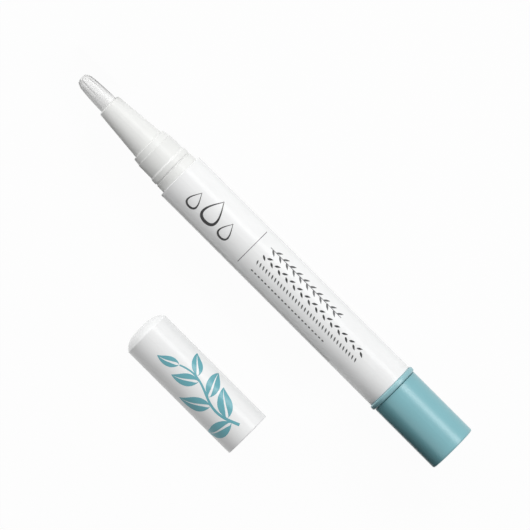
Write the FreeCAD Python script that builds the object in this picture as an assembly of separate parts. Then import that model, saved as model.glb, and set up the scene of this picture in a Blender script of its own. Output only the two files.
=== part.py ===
import FreeCAD, Part
import math
import os

from FreeCAD import Vector

# A twist-up brush pen for nail oil, lying on a table with its cap taken off beside it.
# Turning the knob turns a flat-sided lead screw, which winds itself through a fixed nut and
# pushes a piston along the barrel's bore. The oil leaves through the nozzle into the brush.
#
# Every piece of the pen is drawn about the X axis: x = 0 is the knob's end face and the brush
# points along +X. The cap is drawn the same way from its mouth. At the end all pieces move to
# the part's own frame: the table is z = 0 and the origin lies under the middle of the whole.

# Driving sizes, in millimetres

# Fits
PRESS_CLEARANCE = 0.02
RUNNING_CLEARANCE = 0.08
SLIDING_CLEARANCE = 0.05
SNAP_CLEARANCE = 0.1
CUT_OVERRUN = 1.0

# Barrel, with the snap beads that hold the nozzle in front and the collar behind
BARREL_LENGTH = 69.1
RESERVOIR_BORE = 10.3
BARREL_WALL = 1.1
BARREL_EDGE_BEVEL = 0.15
NUT_SEAT_STEP = 0.15
SNAP_BEAD_RISE = 0.2
SNAP_BEAD_WIDTH = 0.8
SNAP_BEAD_SETBACK = 3.0

# Tail collar, with the ring that shows between barrel and knob
RING_WIDTH = 1.3
RING_RISE = 0.42
RING_ROUND_SHARE = 0.34
RATCHET_NECK_LENGTH = 6.0
RATCHET_NECK_WALL = 0.6
TOOTH_ROW_LENGTH = 4.0
TOOTH_DEPTH = 0.45
TOOTH_COUNT = 12

# Twist knob
KNOB_LENGTH = 19.24
KNOB_WALL = 1.0
KNOB_FLOOR = 1.5
KNOB_END_ROUND = 0.45
KNOB_MOUTH_BEVEL = 0.1
KNOB_GAP = 0.11
BOSS_WALL = 0.9
BOSS_GAP = 1.2
KNOB_RIB_WIDTH = 0.6
KNOB_RIB_COUNT = 6

# Lead screw
SCREW_DIAMETER = 4.2
SCREW_FLATS = 2.8
SCREW_TAIL_GAP = 0.6
SCREW_TAIL_BEVEL = 0.4
SCREW_NECK_DIAMETER = 2.2
SCREW_HEAD_DIAMETER = 3.2
SCREW_HEAD_LENGTH = 1.4

# Drive sleeve
KEY_LENGTH = 6.0
KEY_LEFT_AT_END = 3.0
KEY_CLEARANCE = 0.1
SLEEVE_RELIEF = 0.1
SLEEVE_WALL = 0.7
LIP_LENGTH = 1.6
LIP_RISE = 0.5
LIP_PLAY = 0.2
LIP_GAP = 0.3
SLIT_WIDTH = 0.6
SLIT_LENGTH = 5.0
LUG_WIDTH = 1.2
LUG_RISE = 0.25

# Pawl ring
PAWL_RING_WIDTH = 3.0
PAWL_RING_END_GAP = 0.4
PAWL_HUB_WALL = 0.5
PAWL_ARM_GAP = 0.14
PAWL_ARM_THICKNESS = 0.32
PAWL_ARM_SWEEP_DEGREES = 96
PAWL_ROOT_SWEEP_DEGREES = 20
PAWL_NOSE_SHARES = (0.06, 0.7)
PAWL_COUNT = 2

# Drive nut
NUT_LENGTH = 6.0
NUT_RIB_DEPTH = 0.3
NUT_RIB_WIDTH = 1.0
NUT_RIB_COUNT = 8
NUT_RECESS_DEPTH = 1.5
NUT_HUB_WALL = 1.0
NUT_RIM_WALL = 0.9

# Piston
PISTON_GAP = 0.6
PISTON_LENGTH = 7.0
PISTON_LIP_RISE = 0.35
PISTON_LIP_LENGTH = 1.3
PISTON_WALL = 0.7
PISTON_CROWN = 1.6
PISTON_HUB_WALL = 0.9
PISTON_SNAP_LENGTH = 1.2
PISTON_END_MARGIN = 1.25

# Nozzle, from the barrel's front edge to the mouth
SPIGOT_LENGTH = 9.5
SPIGOT_WALL = 1.0
SEAT_LENGTH = 2.1
SEAT_LEDGE = 0.25
SEAT_TAPER = 0.05
GROOVE_WIDTH = 0.55
GROOVE_DEPTH = 0.2
GROOVE_FLOOR_SHARE = 0.4
BEAD_WIDTH = 1.65
BEAD_BEVEL = 0.4
SHANK_LENGTH = 4.25
SHANK_STEP = 0.26
BAND_LENGTH = 1.8
BAND_STEP = 0.15
BAND_TAPER = 0.17
CONE_LENGTH = 13.0
CONE_STEP = 0.61
STEP_BEVEL_SHARE = 0.6
MOUTH_WALL = 0.66
MOUTH_BEVEL_SHARE = 0.3

# Brush tuft, its retainer and the feed tube
TUFT_DIAMETER = 4.6
TUFT_EXPOSED = 9.25
TUFT_SOCKET = 8.0
TUFT_ROOT_RISE = 0.45
TUFT_ROOT_LENGTH = 0.8
TUFT_SHOULDER_SHARES = (0.7, 0.9)
TUFT_BEND_SHARES = (0.88, 0.75)
TUFT_END_SHARES = (1.0, 0.5)
RETAINER_LENGTH = 3.0
RETAINER_BEVEL = 0.5
FEED_TUBE_DIAMETER = 1.3
FEED_TUBE_WALL = 0.25
FEED_TUBE_INSET = 2.0
FEED_TUBE_TAIL = 5.0

# Cap and its liner
CAP_WALL = 0.6
CAP_CLEARANCE = 0.06
CAP_EDGE_SHARE = 0.25
CAP_SNAP_WIDTH = 0.5
CAP_SHANK_CLEARANCE = 0.12
CAP_CROWN_RISE = 2.25
CAP_CROWN_RADIUS = 18.5
CAP_SHOULDER_RADIUS = 4.0
CAP_CROWN_SINK = 0.5
CAP_TIP_GAP = 0.4
LINER_FLOOR = 0.6
LINER_CLEARANCE = 0.25
LINER_SEAL_LENGTH = 1.2
LINER_SEAL_CLEARANCE = 0.06
LINER_BEVEL = 0.3

# Where the cap lies: its mouth along the pen, and the distance between the two axes
CAP_MOUTH_PLACE = 36.1
CAP_ASIDE = 31.4

# Radii that follow from the driving sizes

reservoir_radius = RESERVOIR_BORE / 2
barrel_radius = reservoir_radius + BARREL_WALL
rear_bore_radius = reservoir_radius + NUT_SEAT_STEP
ring_radius = barrel_radius + RING_RISE
knob_bore_radius = barrel_radius - KNOB_WALL
ratchet_neck_radius = knob_bore_radius - RUNNING_CLEARANCE
tooth_root_radius = ratchet_neck_radius - RATCHET_NECK_WALL
tooth_tip_radius = tooth_root_radius - TOOTH_DEPTH

screw_radius = SCREW_DIAMETER / 2
screw_neck_radius = SCREW_NECK_DIAMETER / 2
screw_head_radius = SCREW_HEAD_DIAMETER / 2
key_radius = screw_radius + KEY_CLEARANCE
key_flats = SCREW_FLATS + 2 * KEY_CLEARANCE
relief_radius = key_radius + SLEEVE_RELIEF
sleeve_radius = relief_radius + SLEEVE_WALL
lug_reach = sleeve_radius + LUG_RISE
collar_bore_radius = sleeve_radius + RUNNING_CLEARANCE
boss_bore_radius = sleeve_radius + PRESS_CLEARANCE
boss_radius = boss_bore_radius + BOSS_WALL

tuft_radius = TUFT_DIAMETER / 2
feed_tube_radius = FEED_TUBE_DIAMETER / 2
feed_hole_radius = feed_tube_radius + PRESS_CLEARANCE
socket_radius = tuft_radius + PRESS_CLEARANCE
mouth_radius = socket_radius + MOUTH_WALL
root_radius = tuft_radius + TUFT_ROOT_RISE
root_bore_radius = root_radius + PRESS_CLEARANCE
seat_radius = reservoir_radius + SEAT_LEDGE
bead_radius = seat_radius - SEAT_TAPER
groove_radius = bead_radius - GROOVE_DEPTH
shank_radius = bead_radius - SHANK_STEP
band_radius = shank_radius - BAND_STEP
band_front_radius = band_radius - BAND_TAPER
cone_radius = band_front_radius - CONE_STEP
spigot_radius = reservoir_radius - PRESS_CLEARANCE
spigot_bore_radius = spigot_radius - SPIGOT_WALL

cap_mouth_radius = seat_radius + CAP_CLEARANCE
cap_radius = cap_mouth_radius + CAP_WALL
cap_bore_radius = shank_radius + CAP_SHANK_CLEARANCE
liner_radius = cap_bore_radius - PRESS_CLEARANCE

# Places along the pen that follow from the driving sizes

ring_rear_x = KNOB_LENGTH + KNOB_GAP
barrel_rear_x = ring_rear_x + RING_WIDTH
barrel_front_x = barrel_rear_x + BARREL_LENGTH
ratchet_neck_x = ring_rear_x - RATCHET_NECK_LENGTH
boss_front_x = ratchet_neck_x - BOSS_GAP
pawl_ring_x = ratchet_neck_x + PAWL_RING_END_GAP
pawl_ring_front_x = pawl_ring_x + PAWL_RING_WIDTH

groove_x = barrel_front_x + SEAT_LENGTH
bead_x = groove_x + GROOVE_WIDTH
shank_x = bead_x + BEAD_WIDTH
band_x = shank_x + SHANK_LENGTH
cone_x = band_x + BAND_LENGTH
mouth_x = cone_x + CONE_LENGTH
tip_x = mouth_x + TUFT_EXPOSED
spigot_x = barrel_front_x - SPIGOT_LENGTH
pen_length = tip_x

# The stroke is what the barrel leaves: the screw needs it twice, behind the nut and ahead of it.
screw_tail_x = KNOB_FLOOR + SCREW_TAIL_GAP
lengths_around_nut = KEY_LEFT_AT_END + LIP_GAP + NUT_LENGTH + PISTON_GAP
lengths_in_bore = PISTON_LENGTH + PISTON_END_MARGIN
piston_stroke = (spigot_x - screw_tail_x - lengths_around_nut - lengths_in_bore) / 2
sleeve_front_x = screw_tail_x + piston_stroke + KEY_LEFT_AT_END
key_x = sleeve_front_x - KEY_LENGTH
lip_x = sleeve_front_x - LIP_LENGTH
collar_front_x = lip_x - LIP_PLAY
nut_x = sleeve_front_x + LIP_GAP
nut_front_x = nut_x + NUT_LENGTH
piston_x = nut_front_x + PISTON_GAP
piston_front_x = piston_x + PISTON_LENGTH

collar_snap_x = barrel_rear_x + SNAP_BEAD_SETBACK
nozzle_snap_x = barrel_front_x - SNAP_BEAD_SETBACK - SNAP_BEAD_WIDTH

root_x = mouth_x - TUFT_SOCKET
retainer_front_x = root_x - TUFT_ROOT_LENGTH
retainer_x = retainer_front_x - RETAINER_LENGTH
feed_front_x = mouth_x - FEED_TUBE_INSET
feed_rear_x = retainer_x - FEED_TUBE_TAIL

# Places inside the cap, from its mouth, which sits on the barrel's front edge when it is closed

cap_inside_end = tip_x + CAP_TIP_GAP + LINER_FLOOR - barrel_front_x
cap_rim = cap_inside_end - CAP_CROWN_SINK
cap_length = cap_rim + CAP_CROWN_RISE
cap_snap_middle = groove_x + GROOVE_WIDTH / 2 - barrel_front_x
cap_shank = shank_x - barrel_front_x
liner_mouth = cone_x + LINER_BEVEL - barrel_front_x

AXIS_START = Vector(0, 0, 0)
AXIS = Vector(1, 0, 0)
FULL_TURN_DEGREES = 360


def station(x, radius):
    """A point of a turned outline, in the plane that is revolved about the axis."""
    return Vector(x, 0, radius)


def rounded_corner(before, corner, after, radius):
    """Start, middle and end of the arc that rounds a corner."""
    back = (before - corner).normalize()
    ahead = (after - corner).normalize()
    half_angle = back.getAngle(ahead) / 2
    reach = radius / math.tan(half_angle)
    depth = radius / math.sin(half_angle) - radius
    return corner + back * reach, corner + (back + ahead).normalize() * depth, corner + ahead * reach


def path(stations):
    """Edges through (x, radius) stations; a third value rounds that corner."""
    points = [station(*entry[:2]) for entry in stations]
    edges = []
    here = points[0]
    for i in range(1, len(points)):
        if len(stations[i]) == 2:
            edges.append(Part.makeLine(here, points[i]))
            here = points[i]
            continue
        first, middle, last = rounded_corner(points[i - 1], points[i], points[i + 1], stations[i][2])
        edges.append(Part.makeLine(here, first))
        edges.append(Part.Arc(first, middle, last).toShape())
        here = last
    return edges


def arc_about(centre, start, end):
    """Arc about a centre, from one point of the circle to another."""
    halfway = ((start - centre) + (end - centre)).normalize() * start.distanceToPoint(centre)
    return Part.Arc(start, centre + halfway, end).toShape()


def turned_edges(edges):
    """Solid of revolution about the axis, from the edges of a closed outline."""
    return Part.Face(Part.Wire(edges)).revolve(AXIS_START, AXIS, FULL_TURN_DEGREES)


def turned(stations):
    """Solid of revolution about the axis, from the stations of a closed outline."""
    return turned_edges(path(stations + stations[:1]))


def rod(x_from, x_to, radius):
    """Round rod on the axis."""
    return Part.makeCylinder(radius, x_to - x_from, Vector(x_from, 0, 0), AXIS)


def block(x_from, x_to, width, z_from, z_to):
    """Rectangular block, centred on the XZ plane."""
    corner = Vector(x_from, -width / 2, z_from)
    return Part.makeBox(x_to - x_from, width, z_to - z_from, corner)


def spoke(radius, degrees):
    """Point at a radius and an angle about the axis, in the plane x = 0."""
    angle = math.radians(degrees)
    return Vector(0, radius * math.cos(angle), radius * math.sin(angle))


def spoke_degrees(point):
    """Angle of a point about the axis."""
    return math.degrees(math.atan2(point.z, point.y))


def prism(edges, x_from, x_to):
    """Solid from a closed outline in the plane x = 0, stretched along the axis."""
    face = Part.Face(Part.Wire(edges))
    face.translate(Vector(x_from, 0, 0))
    return face.extrude(Vector(x_to - x_from, 0, 0))


def polygon_prism(points, x_from, x_to):
    """Prism along the axis, from the corners of its outline."""
    return prism(Part.makePolygon(points + points[:1]).Edges, x_from, x_to)


def sector(inner, outer, degrees_from, degrees_to, x_from, x_to):
    """Piece of a ring about the axis, between two radii and two angles."""
    middle = (degrees_from + degrees_to) / 2
    edges = [
        Part.Arc(spoke(outer, degrees_from), spoke(outer, middle), spoke(outer, degrees_to)).toShape(),
        Part.makeLine(spoke(outer, degrees_to), spoke(inner, degrees_to)),
        Part.Arc(spoke(inner, degrees_to), spoke(inner, middle), spoke(inner, degrees_from)).toShape(),
        Part.makeLine(spoke(inner, degrees_from), spoke(outer, degrees_from)),
    ]
    return prism(edges, x_from, x_to)


def around(shape, count):
    """The same shape repeated evenly about the axis."""
    copies = []
    for i in range(count):
        copy = shape.copy()
        copy.rotate(AXIS_START, AXIS, i * FULL_TURN_DEGREES / count)
        copies.append(copy)
    return copies


def one_solid(shape):
    """The single solid that a cut or a fuse leaves."""
    solids = shape.removeSplitter().Solids
    if len(solids) != 1:
        raise ValueError(f"expected one solid, found {len(solids)}")
    return solids[0]


def snap_ridge(x_from, radius):
    """Stations of a snap bead on a wall, or of the groove that takes it."""
    return [
        (x_from, radius),
        (x_from + SNAP_BEAD_WIDTH / 2, radius + SNAP_BEAD_RISE),
        (x_from + SNAP_BEAD_WIDTH, radius),
    ]


def make_barrel():
    """Tube that holds the oil, with a wider bore behind that ends in a seat for the nut."""
    front_groove = snap_ridge(nozzle_snap_x, reservoir_radius)
    rear_groove = snap_ridge(collar_snap_x, rear_bore_radius)
    return turned([
        (barrel_rear_x, rear_bore_radius),
        (barrel_rear_x, barrel_radius - BARREL_EDGE_BEVEL),
        (barrel_rear_x + BARREL_EDGE_BEVEL, barrel_radius),
        (barrel_front_x - BARREL_EDGE_BEVEL, barrel_radius),
        (barrel_front_x, barrel_radius - BARREL_EDGE_BEVEL),
        (barrel_front_x, reservoir_radius),
        *reversed(front_groove),
        (nut_front_x, reservoir_radius),
        (nut_front_x, rear_bore_radius),
        *reversed(rear_groove),
    ])


def make_tail_collar():
    """Fixed collar: visible ring, spigot snapped into the barrel, rear neck with ratchet teeth inside."""
    spigot = rear_bore_radius - PRESS_CLEARANCE
    ring_round = RING_WIDTH * RING_ROUND_SHARE
    body = turned([
        (ratchet_neck_x, collar_bore_radius),
        (ratchet_neck_x, ratchet_neck_radius),
        (ring_rear_x, ratchet_neck_radius),
        (ring_rear_x, ring_radius, ring_round),
        (barrel_rear_x, ring_radius, ring_round),
        (barrel_rear_x, spigot),
        *snap_ridge(collar_snap_x, spigot),
        (collar_front_x, spigot),
        (collar_front_x, collar_bore_radius),
    ])
    pitch = FULL_TURN_DEGREES / TOOTH_COUNT
    corners = []
    for i in range(TOOTH_COUNT):
        corners.append(spoke(tooth_root_radius, i * pitch))
        corners.append(spoke(tooth_tip_radius, (i + 1) * pitch))
    teeth = polygon_prism(corners, ratchet_neck_x - CUT_OVERRUN, ratchet_neck_x + TOOTH_ROW_LENGTH)
    return one_solid(body.cut(teeth))


def make_twist_knob():
    """Closed knob with an inner boss that grips the drive sleeve, braced by ribs."""
    shell = turned([
        (0, 0),
        (0, barrel_radius, KNOB_END_ROUND),
        (KNOB_LENGTH - KNOB_MOUTH_BEVEL, barrel_radius),
        (KNOB_LENGTH, barrel_radius - KNOB_MOUTH_BEVEL),
        (KNOB_LENGTH, knob_bore_radius),
        (KNOB_FLOOR, knob_bore_radius),
        (KNOB_FLOOR, boss_radius),
        (boss_front_x, boss_radius),
        (boss_front_x, boss_bore_radius),
        (KNOB_FLOOR, boss_bore_radius),
        (KNOB_FLOOR, 0),
    ])
    rib_foot = boss_radius - BOSS_WALL / 2
    rib_top = knob_bore_radius + KNOB_WALL / 2
    rib = block(KNOB_FLOOR / 2, boss_front_x - BOSS_GAP, KNOB_RIB_WIDTH, rib_foot, rib_top)
    slot_width = LUG_WIDTH + 2 * PRESS_CLEARANCE
    slot_reach = lug_reach + PRESS_CLEARANCE
    slot = block(KNOB_FLOOR, boss_front_x + CUT_OVERRUN, slot_width, -slot_reach, slot_reach)
    return one_solid(shell.cut(slot).fuse(around(rib, KNOB_RIB_COUNT)))


def make_drive_sleeve():
    """Tube that turns with the knob: drive lugs behind, keyed bore and slit snap lip in front."""
    tube = turned([
        (KNOB_FLOOR, relief_radius),
        (KNOB_FLOOR, sleeve_radius),
        (lip_x, sleeve_radius),
        (lip_x, sleeve_radius + LIP_RISE),
        (lip_x + LIP_LENGTH / 2, sleeve_radius + LIP_RISE),
        (sleeve_front_x, sleeve_radius),
        (sleeve_front_x, 0),
        (key_x, 0),
        (key_x, relief_radius),
    ])
    lug_bar = block(KNOB_FLOOR, pawl_ring_front_x, LUG_WIDTH, -lug_reach, lug_reach)
    lug_foot = rod(KNOB_FLOOR, pawl_ring_front_x, sleeve_radius - SLEEVE_WALL / 2)
    key_from = key_x - CUT_OVERRUN
    key_to = sleeve_front_x + CUT_OVERRUN
    key_slab = block(key_from, key_to, 2 * key_radius, -key_flats / 2, key_flats / 2)
    key_hole = rod(key_from, key_to, key_radius).common(key_slab)
    slit_reach = sleeve_radius + LIP_RISE + CUT_OVERRUN
    slit = block(sleeve_front_x - SLIT_LENGTH, key_to, SLIT_WIDTH, -slit_reach, slit_reach)
    return one_solid(tube.fuse(lug_bar.cut(lug_foot)).cut([key_hole, slit]))


def make_pawl_ring():
    """Ratchet ring: hub keyed to the sleeve, springy arms with noses that rest in the collar's teeth."""
    hub_bore = sleeve_radius + PRESS_CLEARANCE
    hub_radius = hub_bore + PAWL_HUB_WALL
    arm_inner = hub_radius + PAWL_ARM_GAP
    arm_outer = arm_inner + PAWL_ARM_THICKNESS
    arm_middle = (arm_inner + arm_outer) / 2
    pitch = FULL_TURN_DEGREES / TOOTH_COUNT
    valley = spoke(tooth_root_radius, 0)
    ramp = spoke(tooth_tip_radius, pitch) - valley
    inward = Vector(0, -ramp.z, ramp.y).normalize()
    nose_top, nose_end = [valley + ramp * share + inward * RUNNING_CLEARANCE for share in PAWL_NOSE_SHARES]
    nose = polygon_prism([
        spoke(arm_middle, spoke_degrees(nose_top)),
        nose_top,
        nose_end,
        spoke(arm_middle, spoke_degrees(nose_end)),
    ], pawl_ring_x, pawl_ring_front_x)
    arm_end = spoke_degrees(nose_end)
    arm_start = arm_end - PAWL_ARM_SWEEP_DEGREES
    root_end = arm_start + PAWL_ROOT_SWEEP_DEGREES
    arm = sector(arm_inner, arm_outer, arm_start, arm_end, pawl_ring_x, pawl_ring_front_x)
    root_foot = hub_radius - PAWL_HUB_WALL / 2
    root = sector(root_foot, arm_outer, arm_start, root_end, pawl_ring_x, pawl_ring_front_x)
    hub = rod(pawl_ring_x, pawl_ring_front_x, hub_radius)
    hole_from = pawl_ring_x - CUT_OVERRUN
    hole_to = pawl_ring_front_x + CUT_OVERRUN
    hole = rod(hole_from, hole_to, hub_bore)
    slot_width = LUG_WIDTH + 2 * PRESS_CLEARANCE
    slot_reach = lug_reach + PRESS_CLEARANCE
    slot = block(hole_from, hole_to, slot_width, -slot_reach, slot_reach)
    pawls = around(arm.fuse([root, nose]), PAWL_COUNT)
    return one_solid(hub.fuse(pawls).cut([hole, slot]))


def make_lead_screw():
    """Flat-sided screw, with a neck and head at the front that snap into the piston."""
    neck_x = piston_x - SNAP_CLEARANCE
    head_x = piston_x + PISTON_SNAP_LENGTH + SNAP_CLEARANCE
    head_front_x = head_x + SCREW_HEAD_LENGTH
    bar = turned([
        (screw_tail_x, 0),
        (screw_tail_x, screw_radius - SCREW_TAIL_BEVEL),
        (screw_tail_x + SCREW_TAIL_BEVEL, screw_radius),
        (neck_x, screw_radius),
        (neck_x, 0),
    ])
    slab = block(screw_tail_x, neck_x, SCREW_DIAMETER, -SCREW_FLATS / 2, SCREW_FLATS / 2)
    head = turned([
        (neck_x, 0),
        (neck_x, screw_neck_radius),
        (head_x, screw_neck_radius),
        (head_x, screw_head_radius),
        (head_x + SCREW_HEAD_LENGTH / 2, screw_head_radius),
        (head_front_x, screw_neck_radius),
        (head_front_x, 0),
    ])
    return one_solid(bar.common(slab).fuse(head))


def make_drive_nut():
    """Fixed nut: hub for the screw, rim with grip ribs in the barrel's rear bore, web between them."""
    rim = rear_bore_radius - PRESS_CLEARANCE
    rim_inner = rim - NUT_RIB_DEPTH - NUT_RIM_WALL
    hub_bore = screw_radius + SLIDING_CLEARANCE
    hub = hub_bore + NUT_HUB_WALL
    web_x = nut_x + NUT_RECESS_DEPTH
    web_front_x = nut_front_x - NUT_RECESS_DEPTH
    body = turned([
        (nut_x, hub_bore),
        (nut_x, hub),
        (web_x, hub),
        (web_x, rim_inner),
        (nut_x, rim_inner),
        (nut_x, rim),
        (nut_front_x, rim),
        (nut_front_x, rim_inner),
        (web_front_x, rim_inner),
        (web_front_x, hub),
        (nut_front_x, hub),
        (nut_front_x, hub_bore),
    ])
    gap_degrees = FULL_TURN_DEGREES / NUT_RIB_COUNT - math.degrees(NUT_RIB_WIDTH / rim)
    gap = sector(rim - NUT_RIB_DEPTH, rim + CUT_OVERRUN, 0, gap_degrees, nut_x - CUT_OVERRUN, web_front_x)
    return one_solid(body.cut(around(gap, NUT_RIB_COUNT)))


def make_piston():
    """Piston: a sealing lip at each end, a cone ahead, a socket behind that holds the screw's head."""
    lip = reservoir_radius - SLIDING_CLEARANCE
    waist = lip - PISTON_LIP_RISE
    skirt = waist - PISTON_WALL
    snap = screw_neck_radius + SNAP_CLEARANCE
    socket = screw_head_radius + SNAP_CLEARANCE
    hub = socket + PISTON_HUB_WALL
    socket_x = piston_x + PISTON_SNAP_LENGTH
    socket_end_x = socket_x + SCREW_HEAD_LENGTH + 2 * SNAP_CLEARANCE
    crown_x = piston_front_x - PISTON_CROWN
    recess_end_x = crown_x - PISTON_WALL
    return turned([
        (piston_x, snap),
        (piston_x, hub),
        (recess_end_x, hub),
        (recess_end_x, skirt),
        (piston_x, skirt),
        (piston_x, lip),
        (piston_x + PISTON_LIP_LENGTH, waist),
        (crown_x - PISTON_LIP_LENGTH, waist),
        (crown_x, lip),
        (crown_x, skirt),
        (piston_front_x, hub),
        (piston_front_x, 0),
        (socket_end_x, 0),
        (socket_end_x, socket),
        (socket_x, socket),
        (socket_x, snap),
    ])


def make_nozzle():
    """Stepped nozzle: spigot in the barrel, cap seat, snap bead, shank, cone with the brush socket."""
    groove_slope = GROOVE_WIDTH * (1 - GROOVE_FLOOR_SHARE) / 2
    band_bevel = BAND_STEP * STEP_BEVEL_SHARE
    cone_bevel = CONE_STEP * STEP_BEVEL_SHARE / 2
    mouth_bevel = MOUTH_WALL * MOUTH_BEVEL_SHARE
    cone_end_radius = mouth_radius + (cone_radius - mouth_radius) * mouth_bevel / CONE_LENGTH
    return turned([
        (spigot_x, spigot_bore_radius),
        (spigot_x, spigot_radius),
        *snap_ridge(nozzle_snap_x, spigot_radius),
        (barrel_front_x, spigot_radius),
        (barrel_front_x, seat_radius),
        (groove_x, bead_radius),
        (groove_x + groove_slope, groove_radius),
        (bead_x - groove_slope, groove_radius),
        (bead_x, bead_radius),
        (shank_x - BEAD_BEVEL, bead_radius),
        (shank_x, shank_radius),
        (band_x - band_bevel, shank_radius),
        (band_x, shank_radius - band_bevel),
        (band_x, band_radius),
        (cone_x - cone_bevel, band_front_radius),
        (cone_x, band_front_radius - cone_bevel),
        (cone_x, cone_radius),
        (mouth_x - mouth_bevel, cone_end_radius),
        (mouth_x, mouth_radius - mouth_bevel),
        (mouth_x, socket_radius),
        (root_x, socket_radius),
        (root_x, root_bore_radius),
        (retainer_x, root_bore_radius),
        (feed_rear_x, spigot_bore_radius),
    ])


def make_bristle_tuft():
    """Tuft of bristles as one form: fused root behind, straight sides in the socket, blunt round tip."""
    shoulder, bend, end = [
        station(mouth_x + TUFT_EXPOSED * along_share, tuft_radius * out_share)
        for along_share, out_share in (TUFT_SHOULDER_SHARES, TUFT_BEND_SHARES, TUFT_END_SHARES)
    ]
    edges = path([
        (end.x, end.z),
        (tip_x, 0),
        (feed_front_x, 0),
        (feed_front_x, feed_hole_radius),
        (retainer_front_x, feed_hole_radius),
        (retainer_front_x, root_radius),
        (root_x, root_radius),
        (root_x, tuft_radius),
        (mouth_x, tuft_radius),
        (shoulder.x, shoulder.z),
    ])
    edges.append(Part.Arc(shoulder, bend, end).toShape())
    return turned_edges(edges)


def make_brush_retainer():
    """Plug behind the tuft's root, bored for the feed tube."""
    return turned([
        (retainer_x, feed_hole_radius),
        (retainer_x, root_radius - RETAINER_BEVEL),
        (retainer_x + RETAINER_BEVEL, root_radius),
        (retainer_front_x, root_radius),
        (retainer_front_x, feed_hole_radius),
    ])


def make_feed_tube():
    """Capillary tube that leads the oil through the retainer into the middle of the tuft."""
    bore = feed_tube_radius - FEED_TUBE_WALL
    return turned([
        (feed_rear_x, bore),
        (feed_rear_x, feed_tube_radius),
        (feed_front_x, feed_tube_radius),
        (feed_front_x, bore),
    ])


def make_cap_shell():
    """Round cap with a shallow domed end, a snap rib behind its mouth and a bore for the liner."""
    edge_bevel = CAP_WALL * CAP_EDGE_SHARE
    snap_from = cap_snap_middle - CAP_SNAP_WIDTH / 2
    snap_to = cap_snap_middle + CAP_SNAP_WIDTH / 2
    edges = path([
        (cap_length, 0),
        (cap_inside_end, 0),
        (cap_inside_end, cap_bore_radius),
        (cap_shank + CAP_WALL, cap_bore_radius),
        (cap_shank, cap_mouth_radius),
        (snap_to, cap_mouth_radius),
        (cap_snap_middle, groove_radius + RUNNING_CLEARANCE),
        (snap_from, cap_mouth_radius),
        (edge_bevel, cap_mouth_radius),
        (0, cap_mouth_radius + edge_bevel),
        (0, cap_radius - edge_bevel),
        (edge_bevel, cap_radius),
        (cap_rim, cap_radius),
    ])
    # The dome is a shallow crown with a rounder shoulder, which meets the side in a crisp edge.
    rim = station(cap_rim, cap_radius)
    apex = station(cap_length, 0)
    crown_centre = station(cap_length - CAP_CROWN_RADIUS, 0)
    to_centre = (crown_centre - rim).normalize()
    inwards = Vector(-to_centre.z, 0, to_centre.x)
    reach = rim.distanceToPoint(crown_centre)
    between_centres = CAP_CROWN_RADIUS - CAP_SHOULDER_RADIUS
    along = (reach ** 2 + CAP_SHOULDER_RADIUS ** 2 - between_centres ** 2) / (2 * reach)
    aside = math.sqrt(CAP_SHOULDER_RADIUS ** 2 - along ** 2)
    shoulder_centre = rim + to_centre * along + inwards * aside
    meeting = crown_centre + (shoulder_centre - crown_centre).normalize() * CAP_CROWN_RADIUS
    edges.append(arc_about(shoulder_centre, rim, meeting))
    edges.append(arc_about(crown_centre, meeting, apex))
    return turned_edges(edges)


def make_cap_liner():
    """Sealing sleeve in the cap: a land that closes round the nozzle's cone, a chamber for the brush."""
    slope = (cone_radius - mouth_radius) / CONE_LENGTH
    seal_radius = cone_radius - slope * LINER_BEVEL + LINER_SEAL_CLEARANCE
    chamber_radius = mouth_radius + LINER_CLEARANCE
    chamber_end = cap_inside_end - LINER_FLOOR
    seal_end = liner_mouth + LINER_SEAL_LENGTH
    return turned([
        (liner_mouth, seal_radius + LINER_BEVEL),
        (liner_mouth, liner_radius),
        (cap_inside_end, liner_radius),
        (cap_inside_end, 0),
        (chamber_end, 0),
        (chamber_end, chamber_radius),
        (mouth_x - barrel_front_x, chamber_radius),
        (seal_end, seal_radius),
        (liner_mouth + LINER_BEVEL, seal_radius),
    ])


PEN_PIECES = {
    "barrel": make_barrel,
    "nozzle": make_nozzle,
    "bristle_tuft": make_bristle_tuft,
    "brush_retainer": make_brush_retainer,
    "feed_tube": make_feed_tube,
    "tail_collar": make_tail_collar,
    "drive_nut": make_drive_nut,
    "piston": make_piston,
    "lead_screw": make_lead_screw,
    "drive_sleeve": make_drive_sleeve,
    "pawl_ring": make_pawl_ring,
    "twist_knob": make_twist_knob,
}

CAP_PIECES = {
    "cap_shell": make_cap_shell,
    "cap_liner": make_cap_liner,
}


def main():
    os.makedirs("parts", exist_ok=True)
    middle_y = (CAP_ASIDE + cap_radius - ring_radius) / 2
    pen_place = Vector(-pen_length / 2, -middle_y, ring_radius)
    cap_place = Vector(CAP_MOUTH_PLACE - pen_length / 2, CAP_ASIDE - middle_y, cap_radius)
    for pieces, place in ((PEN_PIECES, pen_place), (CAP_PIECES, cap_place)):
        for name, make in pieces.items():
            shape = make()
            shape.translate(place)
            shape.exportStep(os.path.join("parts", name + ".step"))
            print(name, "valid" if shape.isValid() else "INVALID", round(shape.Volume, 3))
    print("stroke", round(piston_stroke, 4))
    print("pen length", round(pen_length, 4))
    print("cap length", round(cap_length, 4))


main()
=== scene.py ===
import math
import random
from collections import namedtuple

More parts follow.
